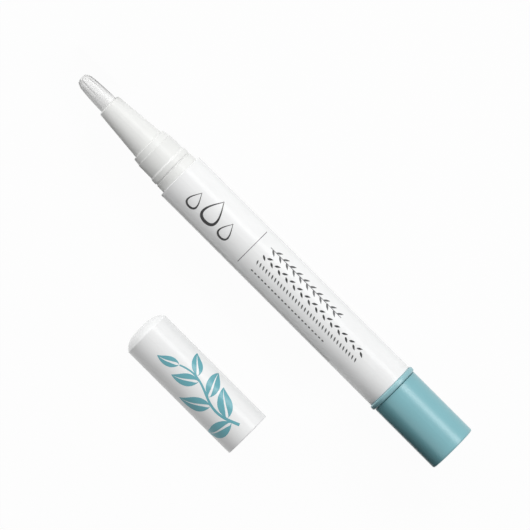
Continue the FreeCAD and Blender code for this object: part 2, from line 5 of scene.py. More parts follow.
import bpy
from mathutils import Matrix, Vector


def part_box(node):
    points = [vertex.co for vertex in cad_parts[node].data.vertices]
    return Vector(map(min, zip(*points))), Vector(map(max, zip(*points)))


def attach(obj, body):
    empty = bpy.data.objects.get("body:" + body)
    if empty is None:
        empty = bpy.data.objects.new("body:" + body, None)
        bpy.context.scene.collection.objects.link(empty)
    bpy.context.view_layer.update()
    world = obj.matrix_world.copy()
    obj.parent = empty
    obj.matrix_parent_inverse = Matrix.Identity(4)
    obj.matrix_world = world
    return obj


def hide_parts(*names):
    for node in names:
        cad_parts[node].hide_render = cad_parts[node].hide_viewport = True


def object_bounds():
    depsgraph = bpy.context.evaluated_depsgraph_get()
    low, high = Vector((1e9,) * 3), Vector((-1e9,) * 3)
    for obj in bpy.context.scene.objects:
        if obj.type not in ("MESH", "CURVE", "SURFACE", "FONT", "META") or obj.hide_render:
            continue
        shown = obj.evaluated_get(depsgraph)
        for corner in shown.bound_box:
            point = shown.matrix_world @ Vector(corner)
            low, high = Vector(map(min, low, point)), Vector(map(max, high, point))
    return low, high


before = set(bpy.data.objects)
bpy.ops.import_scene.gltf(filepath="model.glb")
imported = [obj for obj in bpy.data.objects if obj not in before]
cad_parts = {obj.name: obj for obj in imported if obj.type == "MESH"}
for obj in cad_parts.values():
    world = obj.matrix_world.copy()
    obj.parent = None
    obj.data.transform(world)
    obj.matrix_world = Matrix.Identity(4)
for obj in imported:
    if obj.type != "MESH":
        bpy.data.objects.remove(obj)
CAD_LOW, CAD_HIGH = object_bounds()

bl_info = {
    "name": "Nail oil pen",
    "version": (1, 0, 0),
    "blender": (4, 5, 0),
    "location": "3D View > Sidebar > Oil Pen",
    "description": "Finishes, brush, print and studio stage of a twist-up nail oil pen",
    "category": "Object",
}

MM = 0.001

# Places that come from the frame. The pen and its cap both lie along X.
BARREL_LOW, BARREL_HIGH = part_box("barrel")
CAP_LOW, CAP_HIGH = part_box("cap_shell")
NOZZLE_LOW, NOZZLE_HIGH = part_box("nozzle")
TUFT_LOW, TUFT_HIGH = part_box("bristle_tuft")
FEED_LOW, FEED_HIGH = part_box("feed_tube")
PEN_CENTRE = (BARREL_LOW + BARREL_HIGH) / 2
CAP_CENTRE = (CAP_LOW + CAP_HIGH) / 2
BARREL_RADIUS = (BARREL_HIGH.y - BARREL_LOW.y) / 2
CAP_RADIUS = (CAP_HIGH.y - CAP_LOW.y) / 2
FEED_RADIUS = (FEED_HIGH.y - FEED_LOW.y) / 2
TUFT_ROOT_RADIUS = (TUFT_HIGH.y - TUFT_LOW.y) / 2

# Leaves on the cap: foot along the stalk, side, degrees off the stalk, length and width in millimetres
CAP_LEAVES = [
    (0.10, 1, 52, 8.6, 3.9), (0.16, -1, 58, 7.4, 3.6),
    (0.40, 1, 48, 8.0, 3.6), (0.50, -1, 50, 7.2, 3.3),
    (0.70, 1, 44, 6.6, 3.0), (0.77, -1, 46, 6.0, 2.8),
    (1.00, 0, 0, 5.6, 2.5),
]

# Drops on the barrel: place along the pen in millimetres and size as a share of the largest
DROPS = [(11.9, 0.68), (17.0, 1.0), (22.1, 0.68)]

# Rows of small leaves on the barrel, in millimetres; the headings repeat in turn, in radians from -X
LeafRow = namedtuple("LeafRow", "count first pitch aside headings length width")
LAUREL = LeafRow(
    count=27, first=1.9, pitch=1.22, aside=-0.78, headings=(-0.55, 0.55), length=1.45, width=0.5)
SPRIG = LeafRow(
    count=20, first=1.2, pitch=1.1, aside=-3.35, headings=(-0.7, 0.7), length=1.75, width=0.5)
SLANTED_SEEDS = LeafRow(
    count=34, first=1.9, pitch=0.97, aside=0.9, headings=(0.4 - math.pi / 2,), length=1.2, width=0.36)
SMALL_SEEDS = LeafRow(
    count=22, first=1.6, pitch=1.1, aside=3.87, headings=(0.0,), length=0.72, width=0.42)
DROP_WIDTH_SHARE = 0.64
DROP_ASIDE = 0.3 * MM
SPRIG_STALK_LENGTH = 23.0 * MM
HAIRLINE_ALONG = 5.1 * MM
HAIRLINE_FROM, HAIRLINE_TO = -6.0 * MM, 5.0 * MM

# The stalk on the cap: where it starts and ends along the pen, and how far it swings aside
CAP_STALK_FROM, CAP_STALK_TO = -22.0 * MM, -2.4 * MM
CAP_STALK_SWING = 1.3 * MM

# Softboxes: lean from the vertical and turn in degrees, distance and sizes in metres
Softbox = namedtuple("Softbox", "lean turn distance along across")
KEY_BOX = Softbox(lean=41, turn=0, distance=0.62, along=1.5, across=0.23)
END_BOX = Softbox(lean=65, turn=90, distance=0.7, along=0.9, across=0.5)

# Black cards on the stage: where each begins and ends along the pen, and how far beside its axis it stands
Card = namedtuple("Card", "begin end aside")
KNOB_CARD = Card(CAD_LOW.x - 8 * MM, BARREL_LOW.x + 0.5 * MM, 11 * MM)
BARREL_CARD = Card(BARREL_LOW.x + 14 * MM, NOZZLE_LOW.x + 9 * MM, 11 * MM)
NOZZLE_CARD = Card(NOZZLE_LOW.x + 9 * MM, NOZZLE_HIGH.x, 8 * MM)
TUFT_CARD = Card(NOZZLE_HIGH.x + 1.2 * MM, TUFT_HIGH.x + 6 * MM, -5 * MM)

# Brush: plug behind the filaments, their spacing, where the tip's rounding starts, their lean and shading
ROOT_THICKNESS = 0.8 * MM
ROOT_CLEARANCE = 0.02 * MM
ROOT_SIDES = 48
FILAMENT_SIDES = 5
FILAMENT_PITCH_SHARE = 0.72
CROWN_START_SHARE = 0.62
TIP_START_SHARE = 0.8
TIP_TAPER_SHARE = 0.2
LEAN_SPREAD = 0.02 * MM
BUNDLE_EVENNESS = 0.7


def colour_property(name, description, default):
    """A colour that the user may change."""
    return bpy.props.FloatVectorProperty(
        name=name, description=description, subtype="COLOR", size=3, min=0, max=1, default=default)


def length_property(name, description, default):
    """A length in metres that the user may change."""
    return bpy.props.FloatProperty(
        name=name, description=description, unit="LENGTH", min=0, precision=5, default=default)


def share_property(name, description, default):
    """A share between nothing and the whole."""
    return bpy.props.FloatProperty(
        name=name, description=description, subtype="FACTOR", min=0, max=1, default=default)


def brightness_property(name, description, default):
    """The brightness of a lamp's face, where 1 is plain white."""
    return bpy.props.FloatProperty(name=name, description=description, min=0, default=default)


class OilPenFinish(bpy.types.PropertyGroup):
    """Colours of the moulded pieces, the bristles and the inks."""

    white: colour_property("White plastic", "Barrel and cap", (0.885, 0.89, 0.89))
    teal: colour_property("Teal plastic", "Collar ring and twist knob", (0.195, 0.45, 0.5))
    nozzle: colour_property("Nozzle plastic", "Stepped nozzle", (0.82, 0.825, 0.81))
    inner: colour_property("Inner plastic", "Drive, piston, liner and brush holder", (0.8, 0.8, 0.78))
    bristle: colour_property("Bristles", "Nylon filaments", (0.92, 0.92, 0.915))
    print_dark: colour_property("Dark ink", "Drops and laurel on the barrel", (0.012, 0.012, 0.013))
    print_grey: colour_property("Grey ink", "Fine print on the barrel", (0.06, 0.062, 0.065))
    print_teal: colour_property("Teal ink", "Leaf print on the cap", (0.12, 0.39, 0.45))


class OilPenBrush(bpy.types.PropertyGroup):
    """Sizes of the brush tuft."""

    tuft_diameter: length_property("Tuft", "Diameter of the tuft in the nozzle's mouth", 4.6 * MM)
    filament_diameter: length_property("Filament", "Diameter of one filament", 0.2 * MM)
    gather: share_property("Gather", "How far the filaments draw together at the tip", 0.27)
    crown: share_property("Crown", "How much shorter the outer filaments are", 0.13)
    unevenness: share_property("Unevenness", "Spread of the filaments' lengths", 0.014)
    slant: share_property("Slant", "How far the tip leans across", 0.03)
    strands: bpy.props.IntProperty(
        name="Strands", description="Strands that the tuft parts into", min=1, default=26)
    parting: share_property("Parting", "How far the strands part at the tip", 0.2)
    seed: bpy.props.IntProperty(name="Seed", description="Seed of the filaments' spread", default=7)


class OilPenPrint(bpy.types.PropertyGroup):
    """Sizes of the printed ink."""

    ink: length_property("Ink", "Height of the ink over the plastic", 0.018 * MM)
    hairline: length_property("Hairline", "Width of the line across the barrel", 0.15 * MM)
    drop_length: length_property("Drop", "Length of the largest printed drop", 7.3 * MM)
    drop_stroke: length_property("Drop stroke", "Thickest stroke of the largest drop", 0.85 * MM)
    stalk: length_property("Stalk", "Thickness of the stalk on the cap", 0.72 * MM)


class OilPenStage(bpy.types.PropertyGroup):
    """Camera, light and floor."""

    view_width: length_property("View width", "Width of what the camera sees", 123.26 * MM)
    view_turn: bpy.props.FloatProperty(
        name="View turn", description="Turn of the camera about the vertical", subtype="ANGLE",
        default=math.radians(225))
    lens: bpy.props.FloatProperty(
        name="Lens", description="Focal length", unit="CAMERA", min=1, default=400)
    key: brightness_property("Key", "Brightness of the strip softbox", 3.85)
    end: brightness_property("End", "Brightness of the softbox before the brush", 1.8)
    ambient: brightness_property("Ambient", "Brightness of the room", 0.3)
    floor: colour_property("Floor", "Grey floor", (0.5, 0.5, 0.5))
    floor_white: share_property("Floor white", "How far the floor is seen as plain white", 0.97)
    knob_flag: length_property("Knob flag", "Height of the black card beside the knob", 16 * MM)
    barrel_flag: length_property("Barrel flag", "Height of the black card beside the barrel", 6.5 * MM)
    nozzle_flag: length_property("Nozzle flag", "Height of the black card beside the nozzle", 7.5 * MM)
    tuft_flag: length_property("Tuft flag", "Height of the black card before the tuft", 10.9 * MM)


def add_node(tree, kind, inputs=None, **settings):
    """Adds a node, sets its values and links the sockets given as inputs."""
    node = tree.nodes.new("ShaderNode" + kind)
    for key, value in settings.items():
        setattr(node, key, value)
    for key, value in (inputs or {}).items():
        if isinstance(value, bpy.types.NodeSocket):
            tree.links.new(value, node.inputs[key])
        else:
            node.inputs[key].default_value = value
    return node


def opaque(colour):
    """A colour with full alpha."""
    return (*colour, 1.0)


def shaded(colour, share):
    """A colour darkened or lightened by a share."""
    return tuple(min(channel * share, 1.0) for channel in colour)


def paler(colour, share):
    """A colour moved towards white by a share."""
    return tuple(channel + (1 - channel) * share for channel in colour)


def start_group(name, inputs, outputs):
    """A new shader node group with its sockets; returns the tree, its input node and its output node."""
    tree = bpy.data.node_groups.new(name, "ShaderNodeTree")
    for direction, sockets in (("INPUT", inputs), ("OUTPUT", outputs)):
        for socket_name, kind in sockets:
            tree.interface.new_socket(name=socket_name, in_out=direction, socket_type="NodeSocket" + kind)
    return tree, tree.nodes.new("NodeGroupInput"), tree.nodes.new("NodeGroupOutput")


def surface_millimetres(tree):
    """Place on the piece in millimetres, so that noise scales read as details per millimetre."""
    place = add_node(tree, "TexCoord")
    return add_node(
        tree, "VectorMath", {0: place.outputs["Object"], "Scale": 1 / MM}, operation="SCALE").outputs[0]


def moulded_surface_group():
    """Colour, roughness and relief of an injection-moulded wall: clouds, flow streaks and fine grain."""
    name = "moulded_surface"
    if name in bpy.data.node_groups:
        return bpy.data.node_groups[name]
    tree, given, result = start_group(
        name,
        [("Colour", "Color"), ("Shade", "Color"), ("Roughness", "Float"), ("Spread", "Float")],
        [("Colour", "Color"), ("Roughness", "Float"), ("Height", "Float")],
    )
    place = surface_millimetres(tree)
    stretched = add_node(tree, "VectorMath", {0: place, 1: (0.07, 1.7, 1.7)}, operation="MULTIPLY")
    cloud = add_node(tree, "TexNoise", {"Vector": place, "Scale": 0.16, "Detail": 3.0})
    streak = add_node(tree, "TexNoise", {"Vector": stretched.outputs[0], "Scale": 1.0, "Detail": 4.0})
    grain = add_node(tree, "TexNoise", {"Vector": place, "Scale": 2.6, "Detail": 2.0})
    clouded = add_node(tree, "MapRange", {"Value": cloud.outputs[0], "From Min": 0.3, "From Max": 0.7})
    tint = add_node(
        tree, "Mix", {0: clouded.outputs[0], 6: given.outputs["Colour"], 7: given.outputs["Shade"]},
        data_type="RGBA")
    both = add_node(tree, "Math", {0: cloud.outputs[0], 1: streak.outputs[0]}, operation="ADD")
    centred = add_node(tree, "Math", {0: both.outputs[0], 1: 1.0}, operation="SUBTRACT")
    rough = add_node(
        tree, "Math", {0: centred.outputs[0], 1: given.outputs["Spread"], 2: given.outputs["Roughness"]},
        operation="MULTIPLY_ADD")
    height = add_node(
        tree, "Math", {0: streak.outputs[0], 1: 0.4, 2: grain.outputs[0]}, operation="MULTIPLY_ADD")
    tree.links.new(tint.outputs[2], result.inputs["Colour"])
    tree.links.new(rough.outputs[0], result.inputs["Roughness"])
    tree.links.new(height.outputs[0], result.inputs["Height"])
    return tree


def start_material(name):
    """A new material; returns it with its node tree and its Principled shader."""
    material = bpy.data.materials.new(name)
    material.use_nodes = True
    return material, material.node_tree, material.node_tree.nodes["Principled BSDF"]


def moulded_plastic(name, colour, roughness, spread, specular=0.5, glow=0.0, depth=1.0 * MM, edge=0.1 * MM):
    """A moulded plastic with soft edges, faint clouds and a fine grain."""
    material, tree, shader = start_material(name)
    surface = add_node(tree, "Group", node_tree=moulded_surface_group())
    surface.inputs["Colour"].default_value = opaque(colour)
    surface.inputs["Shade"].default_value = opaque(shaded(colour, 0.97))
    surface.inputs["Roughness"].default_value = roughness
    surface.inputs["Spread"].default_value = spread
    soft_edge = add_node(tree, "Bevel", {"Radius": edge}, samples=4)
    bump = add_node(
        tree, "Bump",
        {"Strength": 0.2, "Distance": 0.005 * MM, "Height": surface.outputs["Height"],
         "Normal": soft_edge.outputs[0]})
    tree.links.new(surface.outputs["Colour"], shader.inputs["Base Color"])
    tree.links.new(surface.outputs["Roughness"], shader.inputs["Roughness"])
    tree.links.new(bump.outputs[0], shader.inputs["Normal"])
    shader.inputs["IOR"].default_value = 1.49
    shader.inputs["Specular IOR Level"].default_value = specular
    shader.inputs["Subsurface Weight"].default_value = glow
    shader.inputs["Subsurface Radius"].default_value = (1.0, 1.0, 0.97)
    shader.inputs["Subsurface Scale"].default_value = depth
    material.diffuse_color = opaque(colour)
    return material


def bundle_normal(tree, evenness):
    """Normals between each filament's own and those of the round bundle; the ends keep their own."""
    place = add_node(tree, "TexCoord").outputs["Object"]
    beside = add_node(tree, "VectorMath", {0: place, 1: PEN_CENTRE}, operation="SUBTRACT")
    across = add_node(tree, "VectorMath", {0: beside.outputs[0], 1: (0, 1, 1)}, operation="MULTIPLY")
    outward = add_node(
        tree, "VectorTransform", {0: across.outputs[0]}, vector_type="NORMAL", convert_from="OBJECT",
        convert_to="WORLD")
    own = add_node(tree, "NewGeometry").outputs["Normal"]
    along = add_node(tree, "VectorMath", {0: own, 1: (1, 0, 0)}, operation="DOT_PRODUCT")
    facing = add_node(tree, "Math", {0: along.outputs[1]}, operation="ABSOLUTE")
    share = add_node(
        tree, "Math", {0: facing.outputs[0], 1: -evenness, 2: evenness}, operation="MULTIPLY_ADD")
    mixed = add_node(tree, "Mix", {0: share.outputs[0], 4: own, 5: outward.outputs[0]}, data_type="VECTOR")
    return add_node(tree, "VectorMath", {0: mixed.outputs[1]}, operation="NORMALIZE").outputs[0]


def bristle_nylon(colour):
    """Pale nylon filaments, each a little lighter or darker than its neighbours."""
    material, tree, shader = start_material("bristle_nylon")
    place = surface_millimetres(tree)
    stretched = add_node(tree, "VectorMath", {0: place, 1: (0.05, 1.5, 1.5)}, operation="MULTIPLY")
    strand = add_node(tree, "TexNoise", {"Vector": stretched.outputs[0], "Scale": 1.0, "Detail": 2.0})
    tone = add_node(tree, "ValToRGB", {"Fac": strand.outputs[0]})
    tone.color_ramp.elements[0].position = 0.34
    tone.color_ramp.elements[0].color = opaque(shaded(colour, 0.9))
    tone.color_ramp.elements[1].position = 0.6
    tone.color_ramp.elements[1].color = opaque(colour)
    rough = add_node(tree, "MapRange", {"Value": strand.outputs[0], "To Min": 0.28, "To Max": 0.42})
    tree.links.new(tone.outputs[0], shader.inputs["Base Color"])
    tree.links.new(rough.outputs[0], shader.inputs["Roughness"])
    tree.links.new(bundle_normal(tree, BUNDLE_EVENNESS), shader.inputs["Normal"])
    shader.inputs["IOR"].default_value = 1.53
    shader.inputs["Specular IOR Level"].default_value = 0.5
    material.diffuse_color = opaque(colour)
    return material


def printed_ink(name, colour, thin_share, roughness):
    """Screen-printed ink: a gloss film that is a touch thinner in patches."""
    material, tree, shader = start_material(name)
    surface = add_node(tree, "Group", node_tree=moulded_surface_group())
    surface.inputs["Colour"].default_value = opaque(colour)
    surface.inputs["Shade"].default_value = opaque(paler(colour, thin_share))
    surface.inputs["Roughness"].default_value = roughness
    surface.inputs["Spread"].default_value = 0.1
    tree.links.new(surface.outputs["Colour"], shader.inputs["Base Color"])
    tree.links.new(surface.outputs["Roughness"], shader.inputs["Roughness"])
    material.diffuse_color = opaque(colour)
    return material


def dress(nodes, material):
    """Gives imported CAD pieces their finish."""
    for node in nodes:
        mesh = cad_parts[node].data
        mesh.materials.clear()
        mesh.materials.append(material)


def add_piece(name, vertices, faces, material, body, sharp_degrees=40):
    """Adds a mesh piece that rides on a body of the pen."""
    mesh = bpy.data.meshes.new(name)
    mesh.from_pydata(vertices, [], faces)
    mesh.update()
    mesh.shade_smooth()
    mesh.set_sharp_from_angle(angle=math.radians(sharp_degrees))
    mesh.materials.append(material)
    piece = bpy.data.objects.new(name, mesh)
    bpy.context.scene.collection.objects.link(piece)
    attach(piece, body)
    return piece


def spaced(count):
    """Shares from 0 to 1 in even steps."""
    return [i / (count - 1) for i in range(count)]


class TubeMesh:
    """Vertices and faces of closed tubes along X, gathered into one mesh."""

    def __init__(self):
        self.vertices = []
        self.faces = []

    def add_rings(self, rings, sides):
        """Rings of (x, y, z, radius); returns the first vertex of each."""
        starts = []
        for x, y, z, radius in rings:
            starts.append(len(self.vertices))
            for k in range(sides):
                angle = 2 * math.pi * k / sides
                self.vertices.append((x, y + radius * math.cos(angle), z + radius * math.sin(angle)))
        return starts

    def join(self, low, high, sides):
        """A band of faces between two rings."""
        for k in range(sides):
            after = (k + 1) % sides
            self.faces.append((low + after, high + after, high + k, low + k))

    def add_tube(self, rings, sides):
        """A tube through the rings, closed at both ends."""
        starts = self.add_rings(rings, sides)
        for low, high in zip(starts, starts[1:]):
            self.join(low, high, sides)
        self.faces.append([starts[0] + k for k in reversed(range(sides))])
        self.faces.append([starts[-1] + k for k in range(sides)])

    def add_washer(self, x_from, x_to, inner, outer, centre, sides):
        """A flat ring about the axis."""
        corners = ((x_from, inner), (x_from, outer), (x_to, outer), (x_to, inner))
        starts = self.add_rings([(x, centre.y, centre.z, radius) for x, radius in corners], sides)
        for low, high in zip(starts, starts[1:] + starts[:1]):
            self.join(low, high, sides)


class InkMesh:
    """Vertices and faces of thin closed films on a cylinder along X, gathered into one mesh."""

    def __init__(self, centre, radius, ink):
        self.centre = centre
        self.radius = radius
        self.layers = (radius + ink * 0.1, radius + ink)
        self.vertices = []
        self.faces = []

    def wrap(self, along, aside, radius):
        """A point of the flat print on the cylinder; aside is an arc from the top towards +Y."""
        angle = aside / self.radius
        return (along, self.centre.y + radius * math.sin(angle), self.centre.z + radius * math.cos(angle))

    def add(self, rows):
        """A film from rows of flat (along, aside) points, all rows of one length."""
        across = len(rows[0])
        last = len(rows) - 1
        count = across * len(rows)
        first = len(self.vertices)
        for radius in self.layers:
            self.vertices += [self.wrap(along, aside, radius) for row in rows for along, aside in row]

        def corner(layer, row, column):
            return first + layer * count + row * across + column

        for i in range(last):
            for k in range(across - 1):
                quad = [(i, k), (i + 1, k), (i + 1, k + 1), (i, k + 1)]
                self.faces.append([corner(1, *place) for place in quad])
                self.faces.append([corner(0, *place) for place in reversed(quad)])
        rim = [(i, 0) for i in range(last)] + [(last, k) for k in range(across - 1)]
        rim += [(last - i, across - 1) for i in range(last)]
        rim += [(0, across - 1 - k) for k in range(across - 1)]
        for here, after in zip(rim, rim[1:] + rim[:1]):
            self.faces.append([corner(0, *here), corner(0, *after), corner(1, *after), corner(1, *here)])

    def stroke(self, line, widths, across=2):
        """A stroke along a flat line, from a low to a high offset to its left at each point."""
        rows = []
        for i, (point, (low, high)) in enumerate(zip(line, widths)):
            ahead = Vector(line[min(i + 1, len(line) - 1)]) - Vector(line[max(i - 1, 0)])
            left = Vector((-ahead.y, ahead.x)).normalized()
            row = [Vector(point) + left * (low + (high - low) * share) for share in spaced(across + 1)]
            rows.append([tuple(place) for place in row])
        self.add(rows)


def leaf_half(share):
    """Half the width of a pointed leaf, as a share of the most, along its length."""
    return math.sin(math.pi * share ** 0.8) ** 0.9 if 0 < share < 1 else 0.0


def leaf(film, foot, heading, length, width, rib, steps=17):
    """A pointed leaf in two halves, with its midrib left bare."""
    ahead = Vector((math.cos(heading), math.sin(heading)))
    left = Vector((-ahead.y, ahead.x))
    shares = spaced(steps)
    line = [foot + ahead * length * s + left * 0.08 * length * math.sin(math.pi * s) * s for s in shares]
    for side in (1, -1):
        widths = []
        for s in shares:
            half = width / 2 * leaf_half(s)
            inner = rib / 2 * (1 - s) * min(1.0, half / rib)
            pair = (side * inner, side * max(half, inner + 0.04 * rib))
            widths.append(pair if side == 1 else pair[::-1])
        film.stroke(line, widths, across=4)


def blade(film, foot, heading, length, width, steps=9):
    """A small solid leaf in one stroke."""
    ahead = Vector((math.cos(heading), math.sin(heading)))
    line = [foot + ahead * length * s for s in spaced(steps)]
    halves = [width / 2 * max(leaf_half(s), 0.08) for s in spaced(steps)]
    film.stroke(line, [(-half, half) for half in halves])


def leaf_row(film, row):
    """A row of small leaves that runs along the pen towards the knob."""
    for i in range(row.count):
        foot = Vector(((row.first - row.pitch * i) * MM, row.aside * MM))
        heading = math.pi + row.headings[i % len(row.headings)]
        blade(film, foot, heading, row.length * MM, row.width * MM)


def sprig(film, line, leaves, thickness):
    """A tapering stalk with leaves at its sides and one at its end."""
    halves = [thickness * (1 - 0.5 * s) / 2 for s in spaced(len(line))]
    film.stroke(line, [(-half, half) for half in halves])
    for share, side, degrees, length, width in leaves:
        spot = min(int(share * (len(line) - 1)), len(line) - 2)
        ahead = (line[spot + 1] - line[spot]).normalized()
        left = Vector((-ahead.y, ahead.x))
        foot = line[spot] + (left * side * 0.4 if side else ahead * 0.5) * thickness
        heading = math.atan2(ahead.y, ahead.x) + side * math.radians(degrees)
        leaf(film, foot, heading, length * MM, width * MM, thickness)


def drop(film, centre, length, width, thickest, steps=72):
    """An oil drop drawn as one brush line, thin at the point and thick at the round end."""
    line = []
    widths = []
    for share in spaced(steps):
        turn = math.pi * (0.05 + 1.9 * share)
        swell = math.sin(turn / 2)
        reach = width / 2 * math.sin(turn) * swell ** 1.5 / 0.7
        line.append((centre.x + reach, centre.y - length / 2 * math.cos(turn)))
        weight = thickest * (0.22 + 0.78 * swell ** 3)
        most = max(abs(reach) * 0.9, 0.02 * MM) if swell < 0.6 else weight
        widths.append((0.0, min(weight, most)))
    film.stroke(line, widths, across=3)


class OILPEN_OT_shells(bpy.types.Operator):
    """Finishes the white barrel and cap"""

    bl_idname = "oil_pen.shells"
    bl_label = "White shells"

    def execute(self, context):
        white = context.scene.oil_pen_finish.white
        gloss = moulded_plastic("gloss_white", white, roughness=0.16, spread=0.05, specular=0.25)
        dress(["barrel", "cap_shell"], gloss)
        return {"FINISHED"}


class OILPEN_OT_tail(bpy.types.Operator):
    """Finishes the twist knob in teal and the collar ring in a paler teal that carries a painted highlight
    """

    bl_idname = "oil_pen.tail"
    bl_label = "Teal collar and knob"

    def execute(self, context):
        teal = context.scene.oil_pen_finish.teal
        # The collar ring is the knob's teal made paler: a painted highlight that stands in for the light
        # its narrow rounded ring catches.
        teal_with_painted_highlight = paler(teal, 0.07)
        knob = moulded_plastic("gloss_teal", teal, roughness=0.31, spread=0.06, specular=0.9)
        collar = moulded_plastic("collar_teal_painted_highlight", teal_with_painted_highlight, roughness=0.31, spread=0.06, specular=0.9)
        dress(["twist_knob"], knob)
        dress(["tail_collar"], collar)
        return {"FINISHED"}


class OILPEN_OT_nozzle(bpy.types.Operator):
    """Finishes the stepped nozzle"""

    bl_idname = "oil_pen.nozzle"
    bl_label = "Nozzle"

    def execute(self, context):
        natural = context.scene.oil_pen_finish.nozzle
        satin = moulded_plastic("nozzle_white", natural, roughness=0.34, spread=0.08, specular=0.35)
        dress(["nozzle"], satin)
        return {"FINISHED"}


class OILPEN_OT_inside(bpy.types.Operator):
    """Finishes the pieces inside the pen and the cap"""

    bl_idname = "oil_pen.inside"
    bl_label = "Inner pieces"

    def execute(self, context):
        inner = context.scene.oil_pen_finish.inner
        natural = moulded_plastic("inner_natural", inner, roughness=0.4, spread=0.08, glow=0.3)
        rubbing = moulded_plastic(
            "piston_natural", shaded(inner, 0.97), roughness=0.45, spread=0.08, glow=0.2)
        lining = moulded_plastic("liner_white", shaded(inner, 1.06), roughness=0.42, spread=0.08)
        drive = moulded_plastic("drive_white", shaded(inner, 1.08), roughness=0.38, spread=0.08)
        dress(["brush_retainer", "feed_tube"], natural)
        dress(["piston"], rubbing)
        dress(["cap_liner"], lining)
        dress(["drive_nut", "lead_screw", "drive_sleeve", "pawl_ring"], drive)
        return {"FINISHED"}


class OILPEN_OT_brush(bpy.types.Operator):
    """Makes the tuft of nylon filaments"""

    bl_idname = "oil_pen.brush"
    bl_label = "Brush tuft"

    def execute(self, context):
        brush = context.scene.oil_pen_brush
        draw = random.Random(brush.seed)
        tubes = TubeMesh()
        thick = brush.filament_diameter / 2
        root_front = TUFT_LOW.x + ROOT_THICKNESS
        bore = FEED_RADIUS + ROOT_CLEARANCE
        tubes.add_washer(TUFT_LOW.x, root_front, bore, TUFT_ROOT_RADIUS, PEN_CENTRE, ROOT_SIDES)
        reach = brush.tuft_diameter / 2 - thick
        pitch = brush.filament_diameter * FILAMENT_PITCH_SHARE
        strands = self.place_strands(brush, draw)
        for ring in range(int(reach / pitch) + 1):
            radius = reach - ring * pitch
            count = max(int(2 * math.pi * radius / pitch), 1)
            for i in range(count):
                angle = 2 * math.pi * (i + 0.5 * (ring % 2)) / count + draw.uniform(-0.1, 0.1) / count
                place = Vector((math.cos(angle), math.sin(angle))) * radius / reach
                self.add_filament(tubes, brush, draw, strands, place, reach, root_front)
        material = bristle_nylon(context.scene.oil_pen_finish.bristle)
        tuft = add_piece(
            "tuft_filaments", tubes.vertices, tubes.faces, material, "pen",
            sharp_degrees=60)
        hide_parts("bristle_tuft")
        return {"FINISHED"}

    def place_strands(self, brush, draw):
        """Even places in a circle of radius 1, each with the length that its strand reaches."""
        golden = math.pi * (3 - math.sqrt(5))
        strands = []
        for i in range(brush.strands):
            out = math.sqrt((i + 0.5) / brush.strands)
            place = Vector((math.cos(i * golden), math.sin(i * golden))) * out
            strands.append((place, 1 - abs(draw.gauss(0, 1.5 * brush.unevenness))))
        return strands

    def add_filament(self, tubes, brush, draw, strands, place, reach, root_front):
        """One filament from the root to the tip; place is where it stands in a circle of radius 1."""
        thick = brush.filament_diameter / 2
        mouth_x = NOZZLE_HIGH.x
        exposed = TUFT_HIGH.x - mouth_x - thick
        out = place.length
        strand, strand_length = min(strands, key=lambda entry: (entry[0] - place).length)
        start = root_front if out * reach > FEED_RADIUS + 2 * thick else FEED_HIGH.x
        edge = max(out - CROWN_START_SHARE, 0) / (1 - CROWN_START_SHARE)
        end = 1 - brush.crown * edge ** 1.4 - brush.slant * (1 + place.x) / 2
        end *= strand_length * (1 - abs(draw.gauss(0, brush.unevenness)))
        lean = Vector((draw.gauss(0, LEAN_SPREAD), draw.gauss(0, LEAN_SPREAD)))
        rings = [(start, PEN_CENTRE.y + place.x * reach, PEN_CENTRE.z + place.y * reach, thick)]
        for s in spaced(7):
            drawn = reach * (1 - brush.gather * (s * end) ** 2.2)
            spot = place.lerp(strand, brush.parting * s * s) * drawn + lean * s * s
            tip = max(s - TIP_START_SHARE, 0) / (1 - TIP_START_SHARE)
            rings.append((
                mouth_x + exposed * end * s, PEN_CENTRE.y + spot.x, PEN_CENTRE.z + spot.y,
                thick * (1 - TIP_TAPER_SHARE * tip)))
        x, y, z, radius = rings[-1]
        rings.append((x + thick, y, z, radius * 0.5))
        tubes.add_tube(rings, FILAMENT_SIDES)


class OILPEN_OT_barrel_print(bpy.types.Operator):
    """Prints plain drops, a hairline, a sprig, a laurel row and rows of seeds on the barrel"""

    bl_idname = "oil_pen.barrel_print"
    bl_label = "Barrel print"

    def execute(self, context):
        sizes = context.scene.oil_pen_print
        finish = context.scene.oil_pen_finish
        dark = InkMesh(PEN_CENTRE, BARREL_RADIUS, sizes.ink)
        for along_mm, size in DROPS:
            length = sizes.drop_length * size
            centre = Vector((along_mm * MM, DROP_ASIDE + (sizes.drop_length - length) / 2))
            drop(dark, centre, length, length * DROP_WIDTH_SHARE, sizes.drop_stroke * size)
        leaf_row(dark, LAUREL)
        dark_ink = printed_ink("ink_dark", finish.print_dark, thin_share=0.02, roughness=0.3)
        add_piece("print_dark", dark.vertices, dark.faces, dark_ink, "pen")
        grey = InkMesh(PEN_CENTRE, BARREL_RADIUS, sizes.ink)
        half = sizes.hairline / 2
        line = [(HAIRLINE_ALONG, HAIRLINE_FROM + (HAIRLINE_TO - HAIRLINE_FROM) * s) for s in spaced(41)]
        grey.stroke(line, [(-half, half)] * len(line))
        stalk_from = LAUREL.first * MM
        stalk = [(stalk_from - SPRIG_STALK_LENGTH * s, SPRIG.aside * MM) for s in spaced(9)]
        grey.stroke(stalk, [(-half, half)] * len(stalk))
        for row in (SPRIG, SLANTED_SEEDS, SMALL_SEEDS):
            leaf_row(grey, row)
        grey_ink = printed_ink("ink_grey", finish.print_grey, thin_share=0.05, roughness=0.32)
        add_piece("print_grey", grey.vertices, grey.faces, grey_ink, "pen")
        return {"FINISHED"}


